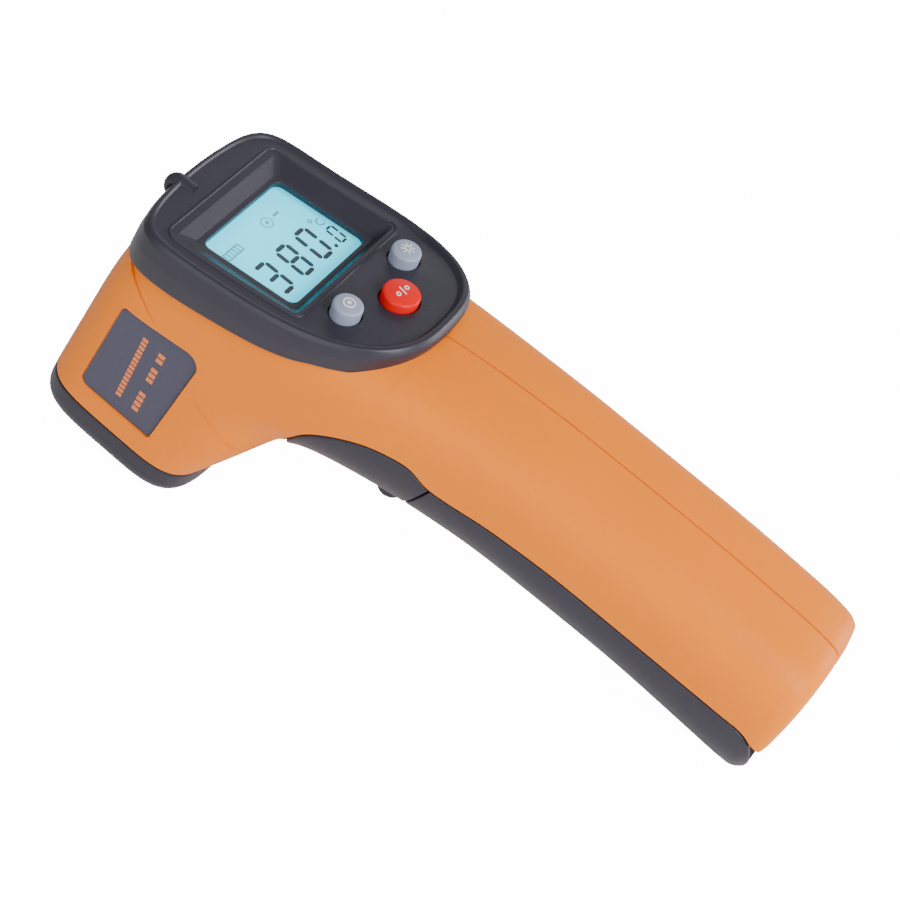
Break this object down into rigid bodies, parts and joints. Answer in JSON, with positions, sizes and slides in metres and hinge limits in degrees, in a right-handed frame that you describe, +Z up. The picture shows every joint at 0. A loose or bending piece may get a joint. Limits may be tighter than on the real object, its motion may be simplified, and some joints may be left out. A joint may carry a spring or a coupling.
{
  "type": "infrared thermometer",
  "caption": "Pistol-grip infrared thermometer lying on nose and heel: hooded display with keys, trigger, lens nose and a hinged battery door in the grip.",
  "frame": {"origin": "on the table plane, under the middle of the whole instrument's box", "axes": "+X from the heel of the grip towards the nose, along the table; +Y to the user's left; +Z up, the way the display faces as the tool lies"},
  "size_m": [0.1668, 0.0428, 0.068],
  "materials": {
    "orange_shell": "fine satin moulding texture",
    "label_film": "satin printed film",
    "black_plastic": "fine matt moulding texture",
    "steel": "bright plated",
    "key_grey": "soft satin",
    "key_red": "soft satin",
    "clear_window": "polished clear",
    "display_glass": "polished",
    "white_plastic": "smooth",
    "pink_elastomer": "matt",
    "green_board": "solder mask",
    "dark_resin": "matt",
    "lens": "polished",
    "brass": "turned",
    "cell_jacket": "printed sleeve",
    "red_insulation": "smooth",
    "black_insulation": "smooth"
  },
  "bodies": {
    "case": {"left_shell": "orange_shell", "right_shell": "orange_shell", "left_label": "label_film", "right_label": "label_film", "case_screw_1": "steel", "case_screw_2": "steel", "case_screw_3": "steel", "case_screw_4": "steel", "display_housing": "black_plastic", "display_window": "clear_window", "lcd_panel": "display_glass", "backlight_panel": "white_plastic", "zebra_strip": "pink_elastomer", "main_board": "green_board", "controller_chip": "dark_resin", "board_screw_1": "steel", "board_screw_2": "steel", "board_screw_3": "steel", "switch_left": "dark_resin", "switch_middle": "dark_resin", "switch_right": "dark_resin", "front_bezel": "black_plastic", "lens_barrel": "black_plastic", "ir_lens": "lens", "thermopile_sensor": "steel", "sensor_board": "green_board", "laser_module": "brass", "laser_lens": "lens", "trigger_surround": "black_plastic", "trigger_pin": "steel", "trigger_spring": "steel", "trigger_switch": "dark_resin", "trigger_board": "green_board", "door_hinge_pin": "steel", "battery_tray": "black_plastic", "cell_left": "cell_jacket", "cell_right": "cell_jacket", "positive_contact": "steel", "negative_contact": "steel", "bridge_contact": "steel", "battery_wire_red": "red_insulation", "battery_wire_black": "black_insulation", "laser_wire_red": "red_insulation", "laser_wire_black": "black_insulation", "sensor_ribbon": "black_insulation", "trigger_ribbon": "black_insulation"},
    "left_key": {"key_left": "key_grey", "plunger_left": "white_plastic"},
    "middle_key": {"key_middle": "key_red", "plunger_middle": "white_plastic"},
    "right_key": {"key_right": "key_grey", "plunger_right": "white_plastic"},
    "trigger": {"trigger": "black_plastic"},
    "switch_plunger": {"trigger_plunger": "white_plastic"},
    "battery_door": {"battery_door": "black_plastic"}
  },
  "joints": [
    {"name": "left_key_press", "type": "slide", "parent": "case", "child": "left_key", "axis": [0.177, 0, -0.9842], "range_m": [0, 0.0006], "stiffness_N_per_m": 1500, "springref_m": -0.0003},
    {"name": "middle_key_press", "type": "slide", "parent": "case", "child": "middle_key", "axis": [0.177, 0, -0.9842], "range_m": [0, 0.0006], "stiffness_N_per_m": 1500, "springref_m": -0.0003},
    {"name": "right_key_press", "type": "slide", "parent": "case", "child": "right_key", "axis": [0.177, 0, -0.9842], "range_m": [0, 0.0006], "stiffness_N_per_m": 1500, "springref_m": -0.0003},
    {"name": "trigger_pull", "type": "hinge", "parent": "case", "child": "trigger", "pos_m": [0.02038, 0, 0.03141], "axis": [0, 1, 0], "range_deg": [0, 8], "stiffness_Nm_per_rad": 0.3, "springref_deg": -2.86, "deforming": ["trigger_spring"]},
    {"name": "switch_plunger_slide", "type": "slide", "parent": "case", "child": "switch_plunger", "axis": [-0.3086, 0, 0.9512], "range_m": [0, 0.0011]},
    {"name": "battery_door_hinge", "type": "hinge", "parent": "case", "child": "battery_door", "pos_m": [-0.07007, 0, 0.00948], "axis": [0, 1, 0], "range_deg": [0, 60]}
  ],
  "couplings": [
    {"joint": "switch_plunger_slide", "follows": "trigger_pull", "m_per_rad": 0.0076}
  ]
}
